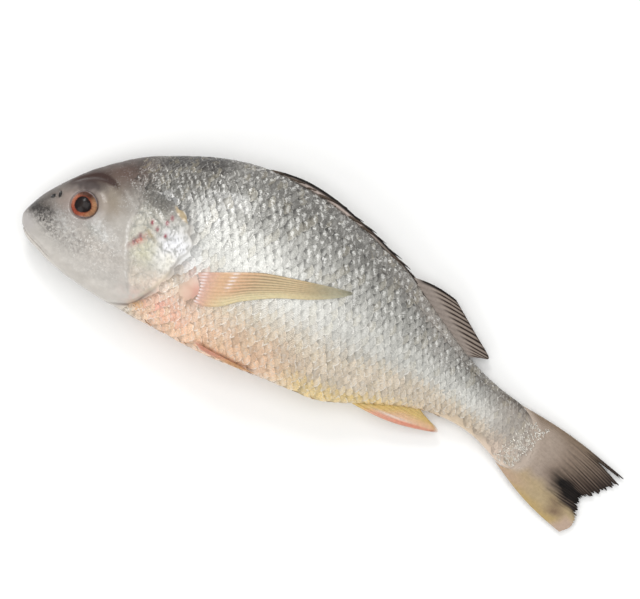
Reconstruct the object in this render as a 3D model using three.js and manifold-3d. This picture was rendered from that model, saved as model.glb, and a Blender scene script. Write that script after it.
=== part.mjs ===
// Whole raw fish, a deep-bodied silver grunt, lying on its right flank on a flat surface.
// Millimetres. +X runs from the snout to the tail, +Y to the back, +Z up to the fish's left side.
// The origin is the middle of the flat patch on which the flank rests.
import * as THREE from "three";
import { ParametricGeometry } from "three/addons/geometries/ParametricGeometry.js";
import { mergeVertices } from "three/addons/utils/BufferGeometryUtils.js";
import Module from "manifold-3d";

const wasm = await Module();
wasm.setup();

// Driving dimensions. Body coordinates run from the snout, before the origin's shift.
const SNOUT_X = -1; // foremost point of the snout
const STALK_END_X = 281; // rearmost point of the scaled tail stalk
const NOSE_ROUNDING = 7; // length over which the snout rounds off
const STALK_ROUNDING = 19; // length over which the tail stalk rounds off
const NOSE_BLUNTNESS = 2.4; // exponent of the snout's rounding: over 2 is blunter than an ellipse
const ORIGIN_X = 118;
const ORIGIN_Y = 28;
const SEAM_GAP = 0.5; // clearance that keeps the fins and eyes separate solids
const BACK_KEEL = 0.62; // section exponent above the lateral axis: over 0.5 gives a keeled back
const BELLY_KEEL = 0.52; // and below it, a nearly round belly
const AXIS_SHARE = 0.5; // the widest level, as a share of the depth above the belly

// Outline of the body without its fins: distance from the snout, then the value there.
const BACK = [
  [-1, 10], [6, 20.5], [12, 28.6], [20, 38], [30, 47.2], [42, 56.2], [54, 62.6], [72, 70.6],
  [90, 75.8], [108, 77.6], [130, 76.2], [155, 71.2], [170, 66.4], [187, 60.2], [208, 48.6],
  [229, 37.2], [246, 30.6], [262, 27], [281, 24],
];
const BELLY = [
  [-1, -1], [6, -5.8], [12, -8.2], [24, -12.5], [42, -15.8], [60, -17.8], [84, -19], [110, -19.9],
  [132, -18.6], [156, -17.2], [167, -16.6], [175, -15], [186, -10.6], [202, -4], [218, 1.6],
  [232, 3.2], [246, 2.2], [258, -1.6], [266, -5.4], [281, -12],
];
const HALF_WIDTH = [
  [-1, 4], [6, 6.6], [12, 8.8], [20, 11], [30, 13.2], [45, 16], [60, 18.4], [75, 20.4],
  [90, 21.8], [105, 22.4], [120, 22.3], [140, 21.2], [160, 19.2], [180, 16.2], [200, 12.6],
  [220, 9.2], [240, 6.3], [262, 4.2], [281, 3.2],
];
// Height of the fish's mid-plane above the surface: the trunk settles, and the tail sags to it.
const LIFT = [
  [-1, 15.6], [30, 17.5], [60, 18.8], [75, 19.5], [90, 20.5], [105, 21.1], [120, 21], [140, 19.9],
  [160, 18.1], [180, 15.8], [200, 13], [220, 10], [240, 7.6], [262, 5.6], [281, 4.2],
  [300, 2.8], [330, 1.6],
];

// Cubic Hermite value of a list of [x, value] points.
function along(points, x) {
  const last = points.length - 1;
  let i = points.findIndex((p) => p[0] >= x) - 1;
  if (x <= points[0][0]) i = 0;
  if (i < 0) i = last - 1;
  const slope = (k) => {
    const a = points[Math.max(k - 1, 0)];
    const b = points[Math.min(k + 1, last)];
    return (b[1] - a[1]) / (b[0] - a[0]);
  };
  const [x0, y0] = points[i];
  const [x1, y1] = points[i + 1];
  const d = x1 - x0;
  const t = THREE.MathUtils.clamp((x - x0) / d, 0, 1);
  const s = t * t * (3 - 2 * t);
  const rise = t * (1 - t) * d * ((1 - t) * slope(i) - t * slope(i + 1));
  return y0 + s * (y1 - y0) + rise;
}

// A quarter-ellipse that rounds the body off at the snout and at the stalk's end.
function roundOff(x) {
  const nose = Math.max(0, 1 - (x - SNOUT_X) / NOSE_ROUNDING);
  const stalk = Math.max(0, 1 - (STALK_END_X - x) / STALK_ROUNDING);
  return Math.sqrt(Math.max(0, 1 - nose ** NOSE_BLUNTNESS)) * Math.sqrt(Math.max(0, 1 - stalk ** 2));
}

// The body's cross-section at x: its lateral axis, heights above and below it, width and lift.
function section(x) {
  const back = along(BACK, x);
  const belly = along(BELLY, x);
  const axis = belly + AXIS_SHARE * (back - belly);
  const round = roundOff(x);
  return {
    axis,
    up: (back - axis) * round,
    down: (axis - belly) * round,
    width: along(HALF_WIDTH, x) * Math.sqrt(round),
    lift: along(LIFT, x),
  };
}

// Half the body's thickness at a point of its side view, or 0 outside the outline.
function halfThickness(x, y) {
  const s = section(x);
  const level = y > s.axis ? (y - s.axis) / s.up : (s.axis - y) / s.down;
  const keel = y > s.axis ? BACK_KEEL : BELLY_KEEL;
  return level < 1 ? s.width * (1 - level * level) ** keel : 0;
}

const flesh = new THREE.MeshStandardMaterial({ color: 0xb9b8b0, roughness: 0.35, metalness: 0.15 });
const amberFin = new THREE.MeshStandardMaterial({ color: 0xd9b27c, roughness: 0.5, metalness: 0 });
const darkFin = new THREE.MeshStandardMaterial({ color: 0x6f655c, roughness: 0.5, metalness: 0 });
const eyeball = new THREE.MeshStandardMaterial({ color: 0xb4673d, roughness: 0.1, metalness: 0 });

const fish = new THREE.Group();
fish.position.set(-ORIGIN_X, -ORIGIN_Y, 0);

function addPart(name, geometry, material) {
  const mesh = new THREE.Mesh(geometry, material);
  mesh.name = name;
  fish.add(mesh);
  return mesh;
}

// Geometry with only positions, so that shared vertices merge.
function bare(geometry) {
  geometry.deleteAttribute("normal");
  geometry.deleteAttribute("uv");
  return mergeVertices(geometry, 1e-3);
}

function solidOf(geometry) {
  const merged = bare(geometry);
  return new wasm.Manifold(new wasm.Mesh({
    numProp: 3,
    vertProperties: merged.attributes.position.array,
    triVerts: new Uint32Array(merged.index.array),
  }));
}

function geometryOf(solid) {
  const mesh = solid.getMesh();
  return new THREE.BufferGeometry()
    .setAttribute("position", new THREE.BufferAttribute(mesh.vertProperties, 3))
    .setIndex(new THREE.BufferAttribute(mesh.triVerts, 1));
}

// Body: closed rings lofted from snout to tail stalk, pressed flat where they meet the surface.
const RING_POINTS = 44;
const RINGS = 56;
const RING_CROWDING = 0.65; // how strongly the rings crowd towards both ends

function bodyGeometry() {
  const length = STALK_END_X - SNOUT_X;
  return new ParametricGeometry((u, v, target) => {
    // Rings crowd towards both ends, where the outline turns fastest.
    const crowded = v - Math.sin(2 * Math.PI * v) / (2 * Math.PI);
    const x = SNOUT_X + length * THREE.MathUtils.lerp(v, crowded, RING_CROWDING);
    const s = section(x);
    const angle = 2 * Math.PI * u;
    const c = Math.cos(angle);
    const n = Math.sin(angle);
    const keel = c > 0 ? BACK_KEEL : BELLY_KEEL;
    const y = s.axis + c * (c > 0 ? s.up : s.down);
    const z = s.lift + s.width * Math.sign(n) * Math.abs(n) ** (2 * keel);
    target.set(x, y, Math.max(z, 0));
  }, RING_POINTS, RINGS);
}

// Eyes: flattened balls seated in sockets that are cut into the head.
const EYE = { x: 25.2, y: 21.4, radius: 7.2, depth: 4.6, proud: 1.2, lean: 0.3 };

function eyeGeometry(side, extra) {
  const z = section(EYE.x).lift + side * (halfThickness(EYE.x, EYE.y) - EYE.depth + EYE.proud);
  const ball = new THREE.SphereGeometry(1, 24, 14);
  ball.rotateX(Math.PI / 2);
  ball.scale(EYE.radius + extra, EYE.radius + extra, EYE.depth + extra);
  ball.rotateY(-side * EYE.lean);
  ball.translate(EYE.x, EYE.y, z);
  return ball;
}

const SIDES = { left: 1, right: -1 };

let body = solidOf(bodyGeometry());
for (const side of Object.values(SIDES)) {
  body = body.subtract(solidOf(eyeGeometry(side, SEAM_GAP)));
}
addPart("body", geometryOf(body), flesh);
for (const [name, side] of Object.entries(SIDES)) {
  addPart("eye_" + name, eyeGeometry(side, 0), eyeball);
}

// A fin: a thin closed blade. mid(a, r) is its middle surface, with a from the leading to the
// trailing edge and r from the root to the tips. Its thickness fades to nothing at every edge.
function finGeometry(mid, rootHalf, tipHalf, across, alongRays) {
  const point = new THREE.Vector3();
  return new ParametricGeometry((u, v, target) => {
    const a = u < 0.5 ? 2 * u : 2 - 2 * u;
    const side = u < 0.5 ? 1 : -1;
    const fade = Math.abs(Math.sin(Math.PI * a) * Math.sin(Math.PI * v)) ** 0.3;
    const half = THREE.MathUtils.lerp(rootHalf, tipHalf, v) * (fade < 0.01 ? 0 : fade);
    mid(a, v, point);
    target.set(point.x, point.y, point.z + side * half);
  }, 2 * across, alongRays);
}

function addFin(name, mid, options, material) {
  const { rootHalf = 0.9, tipHalf = 0.45, across = 12, alongRays = 8 } = options;
  const geometry = finGeometry(mid, rootHalf, tipHalf, across, alongRays);
  // A blade whose edges run the other way round comes out inside out, so it is turned back.
  if (solidOf(geometry.clone()).volume() < 0) geometry.index.array.reverse();
  addPart(name, bare(geometry), material);
}

const lerp = THREE.MathUtils.lerp;
const curve = (points) => new THREE.CatmullRomCurve3(points.map(([x, y]) => new THREE.Vector3(x, y, 0)));

const SOFT_FIN_SAG = 2; // how far the tips of the soft rays hang below the mid-plane

// Tail fin: rays fan from the stalk's rounded end to a shallowly forked rear edge.
const TAIL_EDGE = curve([
  [328, 15], [323.4, 9], [319.4, 3.6], [315.2, 0.6], [313, -2.4], [312.8, -7], [313.6, -12],
  [313.4, -18], [309.6, -23],
]);
const TAIL_BULGE = 2.2; // how far the upper and lower edges bow outwards
const TAIL_GAP = 0.9; // from the stalk's rounded end to the fin's root

addFin("tail_fin", (a, r, out) => {
  const turn = Math.PI * lerp(0.05, 0.95, a);
  const endX = STALK_END_X - STALK_ROUNDING * (1 - Math.sin(turn));
  const s = section(endX);
  const root = {
    x: endX + TAIL_GAP * Math.sin(turn),
    y: s.axis + (a < 0.5 ? s.up : -s.down) + TAIL_GAP * Math.cos(turn),
  };
  const tip = TAIL_EDGE.getPoint(a);
  const bow = TAIL_BULGE * Math.sin(Math.PI * r) * (1 - 2 * a);
  const x = lerp(root.x, tip.x, r);
  out.set(x, lerp(root.y, tip.y, r) + bow, along(LIFT, x));
}, { rootHalf: 1.5, tipHalf: 0.5, across: 20, alongRays: 12 }, darkFin);

// Back fin: ten folded spines lying along the back, then the soft rays behind them. Each folded
// spine's tip stands a step above the root of the next, and the row is lower at both ends.
const BACK_FIN = {
  start: 101, notch: 188, end: 229.5, spines: 10, height: 3.3, step: 0.26, bow: [0.12, 0.85],
};
const SOFT_EDGE = curve([
  [189, 62], [198, 61.3], [207, 60.4], [212.4, 59.2], [220.6, 53.6], [230, 47.4], [239.6, 40.6],
  [235, 38.4],
]);

addFin("back_fin", (a, r, out) => {
  const x = lerp(BACK_FIN.start, BACK_FIN.end, a);
  const root = along(BACK, x) + SEAM_GAP;
  if (x < BACK_FIN.notch) {
    const t = (x - BACK_FIN.start) / (BACK_FIN.notch - BACK_FIN.start);
    const step = 1 - BACK_FIN.step * (1 - ((t * BACK_FIN.spines) % 1));
    const rise = BACK_FIN.height * Math.sin(Math.PI * lerp(...BACK_FIN.bow, t)) * step;
    out.set(x, root + r * rise, along(LIFT, x));
    return;
  }
  const tip = SOFT_EDGE.getPoint((x - BACK_FIN.notch) / (BACK_FIN.end - BACK_FIN.notch));
  const px = lerp(x, tip.x, r);
  out.set(px, lerp(root, tip.y, r), along(LIFT, px) - SOFT_FIN_SAG * r * r);
}, { rootHalf: 0.9, tipHalf: 0.4, across: 60, alongRays: 5 }, darkFin);

// Vent fin: short, folded back below the stalk.
const VENT_FIN = { start: 186, end: 219 };
const VENT_EDGE = curve([
  [190, -11.4], [206, -10.2], [219, -8.4], [228, -6], [233, -4.1], [231.2, -2], [224.5, 0.2],
]);

addFin("vent_fin", (a, r, out) => {
  const x = lerp(VENT_FIN.start, VENT_FIN.end, a);
  const root = along(BELLY, x) - SEAM_GAP;
  const tip = VENT_EDGE.getPoint(a);
  const px = lerp(x, tip.x, r);
  out.set(px, lerp(root, tip.y, r), along(LIFT, px) - SOFT_FIN_SAG * r * r);
}, { rootHalf: 0.9, tipHalf: 0.45, across: 14, alongRays: 8 }, amberFin);

// Breast fins: the left one lies back along the upper flank. The right one is pushed down by
// the fish's weight, and lies under the belly with its tips on the surface.
const FLANK_CLEARANCE = 1.5;
const SURFACE_CLEARANCE = 0.9;
const TIP_CROWDING = 0.7; // under 1, the tips of the lower rays shorten quickly
const BLADE_DROOP = 1.15; // over 1, the blade leaves its root level before it turns

// root and tip each give the fin's upper and lower corner as [x, y].
function breastFin(side, root, tip) {
  return (a, r, out) => {
    const x = lerp(lerp(root[0][0], root[1][0], a), lerp(tip[0][0], tip[1][0], a ** TIP_CROWDING), r);
    const y = lerp(lerp(root[0][1], root[1][1], a), lerp(tip[0][1], tip[1][1], a), r ** BLADE_DROOP);
    const against = along(LIFT, x) + side * (halfThickness(x, y) + FLANK_CLEARANCE);
    const sagged = lerp(against, SURFACE_CLEARANCE, r * r);
    out.set(x, y, side > 0 ? against : Math.max(sagged, SURFACE_CLEARANCE));
  };
}

const BREAST_BLADE = { rootHalf: 0.8, tipHalf: 0.5, across: 12, alongRays: 12 };
addFin("breast_fin_left", breastFin(1, [[93, 16.6], [96, 1.2]], [[165, 39.6], [120, 1.5]]),
  BREAST_BLADE, amberFin);
addFin("breast_fin_right", breastFin(-1, [[93, 3.5], [96, -9]], [[160, -7], [118, -15]]),
  BREAST_BLADE, amberFin);

// Belly fins: a pair folded back against the belly, one on each side of the mid-plane. level is
// the height of the root above the belly's edge, which the blade nears towards its tips.
const BELLY_FIN = {
  root: [103, 108], tip: [139, 128], level: [4.8, 2.2], closing: 0.7, sink: 0.6, proud: 1.6,
};

for (const [name, side] of Object.entries(SIDES)) {
  addFin("belly_fin_" + name, (a, r, out) => {
    const x = lerp(lerp(...BELLY_FIN.root, a), lerp(...BELLY_FIN.tip, a), r);
    const level = lerp(...BELLY_FIN.level, a) * (1 - BELLY_FIN.closing * r);
    const y = along(BELLY, x) + level - BELLY_FIN.sink;
    out.set(x, y, along(LIFT, x) + side * (halfThickness(x, y + SEAM_GAP) + BELLY_FIN.proud));
  }, { rootHalf: 0.7, tipHalf: 0.4, across: 8, alongRays: 10 }, amberFin);
}

export default fish;
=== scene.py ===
# Whole raw fish, a silver grunt, lying on its right flank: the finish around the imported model.
# Shapes are worked out in millimetres of body coordinates, where x runs from the snout to the tail
# and y from the belly to the back, and are put into the frame, in metres, by in_frame().
import math
from functools import partial

import bmesh
import bpy
import numpy as np
from mathutils import Matrix, Vector


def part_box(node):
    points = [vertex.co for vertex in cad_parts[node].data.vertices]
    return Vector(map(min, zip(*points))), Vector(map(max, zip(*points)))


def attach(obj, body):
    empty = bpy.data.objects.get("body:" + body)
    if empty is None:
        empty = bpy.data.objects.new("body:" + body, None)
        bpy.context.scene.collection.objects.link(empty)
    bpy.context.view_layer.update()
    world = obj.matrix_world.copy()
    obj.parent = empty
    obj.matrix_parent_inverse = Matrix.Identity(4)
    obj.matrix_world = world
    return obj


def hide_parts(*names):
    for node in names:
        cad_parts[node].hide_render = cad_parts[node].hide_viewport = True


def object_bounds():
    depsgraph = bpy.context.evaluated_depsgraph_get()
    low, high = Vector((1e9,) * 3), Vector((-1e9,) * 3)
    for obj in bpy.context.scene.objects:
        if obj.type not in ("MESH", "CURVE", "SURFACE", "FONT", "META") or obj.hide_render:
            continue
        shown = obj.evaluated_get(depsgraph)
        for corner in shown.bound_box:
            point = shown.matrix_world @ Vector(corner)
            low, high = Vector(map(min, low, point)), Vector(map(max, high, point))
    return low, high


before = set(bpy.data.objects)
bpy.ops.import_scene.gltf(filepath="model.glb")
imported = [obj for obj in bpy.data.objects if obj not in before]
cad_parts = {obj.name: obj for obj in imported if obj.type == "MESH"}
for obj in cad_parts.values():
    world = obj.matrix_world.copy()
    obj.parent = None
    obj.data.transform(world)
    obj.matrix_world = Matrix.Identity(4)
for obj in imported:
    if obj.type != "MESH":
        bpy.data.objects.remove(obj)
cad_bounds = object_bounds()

MM = 0.001
MERGE_DISTANCE = 0.01 * MM
UV_MAP = "OFBake"
LEFT, RIGHT = 1, -1
SIDES = {"left": LEFT, "right": RIGHT}
rng = np.random.default_rng(11)

# ------------------------------------------------------------------------------ body outline
# The same outlines as the CAD body: distance from the snout, then the value there.
BACK = [
    (-1, 10), (6, 20.5), (12, 28.6), (20, 38), (30, 47.2), (42, 56.2), (54, 62.6), (72, 70.6),
    (90, 75.8), (108, 77.6), (130, 76.2), (155, 71.2), (170, 66.4), (187, 60.2), (208, 48.6),
    (229, 37.2), (246, 30.6), (262, 27), (281, 24),
]
BELLY = [
    (-1, -1), (6, -5.8), (12, -8.2), (24, -12.5), (42, -15.8), (60, -17.8), (84, -19), (110, -19.9),
    (132, -18.6), (156, -17.2), (167, -16.6), (175, -15), (186, -10.6), (202, -4), (218, 1.6),
    (232, 3.2), (246, 2.2), (258, -1.6), (266, -5.4), (281, -12),
]
HALF_WIDTH = [
    (-1, 4), (6, 6.6), (12, 8.8), (20, 11), (30, 13.2), (45, 16), (60, 18.4), (75, 20.4),
    (90, 21.8), (105, 22.4), (120, 22.3), (140, 21.2), (160, 19.2), (180, 16.2), (200, 12.6),
    (220, 9.2), (240, 6.3), (262, 4.2), (281, 3.2),
]
LIFT = [
    (-1, 15.6), (30, 17.5), (60, 18.8), (75, 19.5), (90, 20.5), (105, 21.1), (120, 21), (140, 19.9),
    (160, 18.1), (180, 15.8), (200, 13), (220, 10), (240, 7.6), (262, 5.6), (281, 4.2),
    (300, 2.8), (330, 1.6),
]
BACK_KEEL = 0.62
BELLY_KEEL = 0.52
NOSE_ROUNDING = 7
NOSE_BLUNTNESS = 2.4
STALK_ROUNDING = 19
STALK_TAPER = 0.3  # the stalk thins into the root of the tail fin

body_low, body_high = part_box("body")
SNOUT_X = BACK[0][0]
STALK_END_X = SNOUT_X + (body_high.x - body_low.x) / MM
SHIFT = np.array([body_low.x / MM - SNOUT_X, body_low.y / MM - min(y for x, y in BELLY), 0])


def in_frame(points):
    """Body coordinates in millimetres to the frame's metres."""
    return (points + SHIFT) * MM


def along(points, x):
    """Smooth curve through (distance, value) points, read at x."""
    xs, ys = np.array(points, float).T
    before = np.maximum(np.arange(len(xs)) - 1, 0)
    after = np.minimum(np.arange(len(xs)) + 1, len(xs) - 1)
    slope = (ys[after] - ys[before]) / (xs[after] - xs[before])
    i = np.clip(np.searchsorted(xs, x) - 1, 0, len(xs) - 2)
    d = xs[i + 1] - xs[i]
    t = np.clip((x - xs[i]) / d, 0, 1)
    rise = t * (1 - t) * d * ((1 - t) * slope[i] - t * slope[i + 1])
    return ys[i] + t * t * (3 - 2 * t) * (ys[i + 1] - ys[i]) + rise


def trace(points, t):
    """Point at share t of the way along a smooth curve through (x, y) points."""
    share = np.linspace(0, 1, len(points))
    return [along(list(zip(share, values)), t) for values in zip(*points)]


def straight(points, value):
    """Straight lines between (place, value) points, level past both ends."""
    places, values = zip(*points)
    return np.interp(value, places, values)


def ease(start, end, value):
    """0 at start and before it, 1 at end and past it, and smooth between; start may be above end."""
    t = np.clip((value - start) / (end - start), 0, 1)
    return t * t * (3 - 2 * t)


def lerp(a, b, t):
    return a + (b - a) * t


def section(x):
    """Lateral axis, heights above and below it, half width and lift of the body at x."""
    back, belly = along(BACK, x), along(BELLY, x)
    axis = (back + belly) / 2
    nose = np.clip(1 - (x - SNOUT_X) / NOSE_ROUNDING, 0, 1)
    stalk = np.clip(1 - (STALK_END_X - x) / STALK_ROUNDING, 0, 1)
    rounding = np.sqrt(1 - nose**NOSE_BLUNTNESS) * np.sqrt(1 - stalk**2)
    width = along(HALF_WIDTH, x) * np.sqrt(rounding) * lerp(1, STALK_TAPER, ease(254, STALK_END_X, x))
    return axis, (back - axis) * rounding, (axis - belly) * rounding, width, along(LIFT, x)


def body_point(x, turn):
    """Point of the smooth body: turn runs from the back, 0, by the left flank to the belly, pi."""
    axis, up, down, width, lift = section(x)
    c, s = np.cos(turn), np.sin(turn)
    y = axis + c * np.where(c > 0, up, down)
    bulge = np.abs(s) ** (2 * np.where(c > 0, BACK_KEEL, BELLY_KEEL))
    return np.stack([x + 0 * turn, y, lift + width * np.sign(s) * bulge], -1)


def body_normal(x, turn):
    """Outward normal of the smooth body."""
    step = 0.02
    ahead = np.minimum(x + step, STALK_END_X)
    behind = np.maximum(x - step, SNOUT_X)
    lengthwise = body_point(ahead, turn) - body_point(behind, turn)
    around = body_point(x, turn + step) - body_point(x, turn - step)
    normal = np.cross(around, lengthwise)
    return normal / np.maximum(np.linalg.norm(normal, axis=-1, keepdims=True), 1e-9)


def half_thickness(x, y):
    """Half the body's thickness at a point of its side view."""
    axis, up, down, width, _ = section(x)
    level = np.where(y > axis, (y - axis) / up, (axis - y) / down)
    keel = np.where(y > axis, BACK_KEEL, BELLY_KEEL)
    return width * np.clip(1 - level**2, 0, 1) ** keel


def level_of(x, y):
    """Height in the side view: 0 on the belly's outline and 1 on the back's."""
    belly = along(BELLY, x)
    return (y - belly) / (along(BACK, x) - belly)


# --------------------------------------------------------------------------- head and gill lines
EYE = {"x": 25.2, "y": 21.4, "radius": 7.2, "clearance": 0.1, "depth": 4.6, "proud": 1.4, "lean": 0.16}
LOBE = (91, 7)  # fleshy root of the breast fin
# Openings, each as the middle, reach and lean of a hill.
NOSTRILS = [((9, 18.8), (0.8, 1.45), -0.6), ((11.8, 21), (0.75, 1.8), 0.2)]
GILL_SLIT = ((71.3, 38), (5.6, 1.7), -0.46)  # open upper end of the gill

# Lines given as (height, distance from the snout), from the throat upwards.
GILL_EDGE = [
    (-17, 56), (-12.5, 66), (-6, 71.2), (1.6, 75.8), (10, 78.4), (17, 79.8), (24, 82.6),
    (27.5, 82.6), (31, 78.4), (35.6, 76.6), (41.6, 66.6), (44, 62),
]
CHEEK_EDGE = [(-8, 63.5), (3, 57), (14, 52.5), (22, 49.8), (33, 49.4)]
SCALES_FROM = [
    (-21, 62), (-12.5, 68), (-6, 73.5), (2, 78), (10, 80.5), (17, 82), (24, 84.6), (28, 84.6),
    (31, 80.5), (36, 78.5), (41, 66), (46, 53), (53, 46), (62, 50), (70, 60), (78, 66),
]
BROW_FOLD = [(13.5, 28.8), (19.5, 34.2), (25.5, 37.4), (31, 37.9), (38, 36.6)]  # (distance, height)

# Heights across those lines: distance from the line, then the rise of the skin.
GILL_STEP = [(-16, 0), (-5, 0.3), (-0.5, 0.4), (0.4, -0.35), (1.2, -0.4), (2.8, -0.2), (6, 0)]
CHEEK_STEP = [(-4, 0), (-0.4, 0.15), (0.5, -0.25), (3, 0)]
EYE_SOCKET = [(0, -4.2), (6.2, -4), (6.9, -0.6), (7.6, 0.3), (9, 0.4), (12, 0)]
MOUTH_CLEFT = [(-1.6, 0.1), (-0.4, 0.2), (0, -1), (0.4, 0.25), (2, 0.4), (5, 0)]
MOUTH_HEIGHT = 1.6
MOUTH_END_X = 21
SCALE_BED = 0.35  # depth of the skin below the level of the scales


def past_line(line, x, y):
    """Distance behind a line given as (height, distance), negative in front of it."""
    slope = along(line, y + 0.5) - along(line, y - 0.5)
    return (x - along(line, y)) / np.sqrt(1 + slope**2)


def hill(x, y, middle, reach, lean=0):
    """Smooth round hill: 1 in the middle, fading over its reach along and across, leant by an angle."""
    dx, dy = x - middle[0], y - middle[1]
    u = dx * math.cos(lean) + dy * math.sin(lean)
    v = dy * math.cos(lean) - dx * math.sin(lean)
    return np.exp(-((u / reach[0]) ** 2) - (v / reach[1]) ** 2)


def ripple(x, y, length):
    """Uneven waves of about that length, between -1 and 1."""
    k = 2 * math.pi / length
    across = np.sin(k * x + 1.7 * np.sin(0.77 * k * y))
    return across * np.sin(1.25 * k * y + 1.1 * np.sin(0.59 * k * x))


def creases(x, y):
    """Thin branching creases: 1 in their bottoms and 0 on the plates between them."""
    wide = 1.3 - np.abs(ripple(x + 0.5 * y, y - 0.2 * x, 15)) / 0.13
    fine = 0.9 - np.abs(ripple(y, x, 9.1)) / 0.16
    return np.clip(np.maximum(wide, fine), 0, 1)


def cover_share(x, y):
    """1 on the bony gill cover, behind the cheek, and 0 off it."""
    behind_cheek = ease(0, 3, past_line(CHEEK_EDGE, x, y))
    return behind_cheek * ease(0, -2, past_line(GILL_EDGE, x, y)) * ease(-12, 0, y) * ease(40, 32, y)


def relief(x, y):
    """Rise of the skin over the smooth body, in millimetres."""
    gill = straight(GILL_STEP, past_line(GILL_EDGE, x, y)) * ease(46, 42, y) * ease(-19, -13, y)
    cheek = straight(CHEEK_STEP, past_line(CHEEK_EDGE, x, y)) * ease(36, 30, y) * ease(-11, -5, y)
    eye = straight(EYE_SOCKET, np.hypot(x - EYE["x"], y - EYE["y"]))
    over_belly = y - along(BELLY, x)
    mouth = straight(MOUTH_CLEFT, over_belly - MOUTH_HEIGHT) * ease(MOUTH_END_X + 2, MOUTH_END_X - 3, x)
    fold = -0.5 * np.exp(-(((y - along(BROW_FOLD, x)) / 1.2) ** 2)) * ease(13, 17, x) * ease(37, 33, x)
    nostrils = sum(-1.1 * hill(x, y, *nostril) for nostril in NOSTRILS)
    lobe = 1.5 * hill(x, y, LOBE, (6, 7.5)) - 0.6 * hill(x, y, *GILL_SLIT)
    waves = 0.4 * ripple(x, y, 12) + 0.16 * ripple(x, y, 4.4)
    crumple = cover_share(x, y) * (0.2 - 0.4 * creases(x, y) + waves)
    flesh = 0.1 * ripple(x, y, 13) * ease(6, 20, x) * ease(100, 80, x)
    bed = -SCALE_BED * scaled_share(x, y)
    return gill + cheek + eye + mouth + fold + nostrils + lobe + crumple + flesh + bed


def scaled_share(x, y):
    """1 where the trunk carries scales and 0 on the bare head, gill slit and breast fin's root."""
    bare = 1.4 * hill(x, y, LOBE, (6.5, 8)) + 4 * hill(x, y, *GILL_SLIT)
    return ease(-0.5, 1.5, past_line(SCALES_FROM, x, y)) * (1 - np.minimum(1, bare))


# ------------------------------------------------------------------------------------- colours
def srgb(code):
    """Linear colour of an sRGB hex code."""
    channels = [int(code[i : i + 2], 16) / 255 for i in (1, 3, 5)]
    return np.array([c / 12.92 if c <= 0.04045 else ((c + 0.055) / 1.055) ** 2.4 for c in channels])


def rgba(code):
    """The same, as a node's colour."""
    return (*srgb(code), 1)


def flat_tint(code, count):
    """The same, for each of count points."""
    return np.tile(srgb(code), (count, 1))


def painted(tint, *layers):
    """Colours under layers laid on in turn, each a hex colour and its amount at every point."""
    for code, amount in layers:
        tint = tint + (srgb(code) - tint) * np.clip(amount, 0, 1)[:, None]
    return tint


BLOOD_SPECKS = [
    (55.5, 16.2), (57.1, 19.8), (59.7, 28.2), (63.4, 26.2), (66.6, 31.1), (67.8, 34.4), (68.6, 24.8),
]


def skin_tint(x, y):
    """Colour of the fish at a point of its side view."""
    tint = patches(x + 1.1 * ripple(x, y, 9), y + 0.9 * ripple(y, x, 8))
    return head_marks(x, y, tint)


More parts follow.
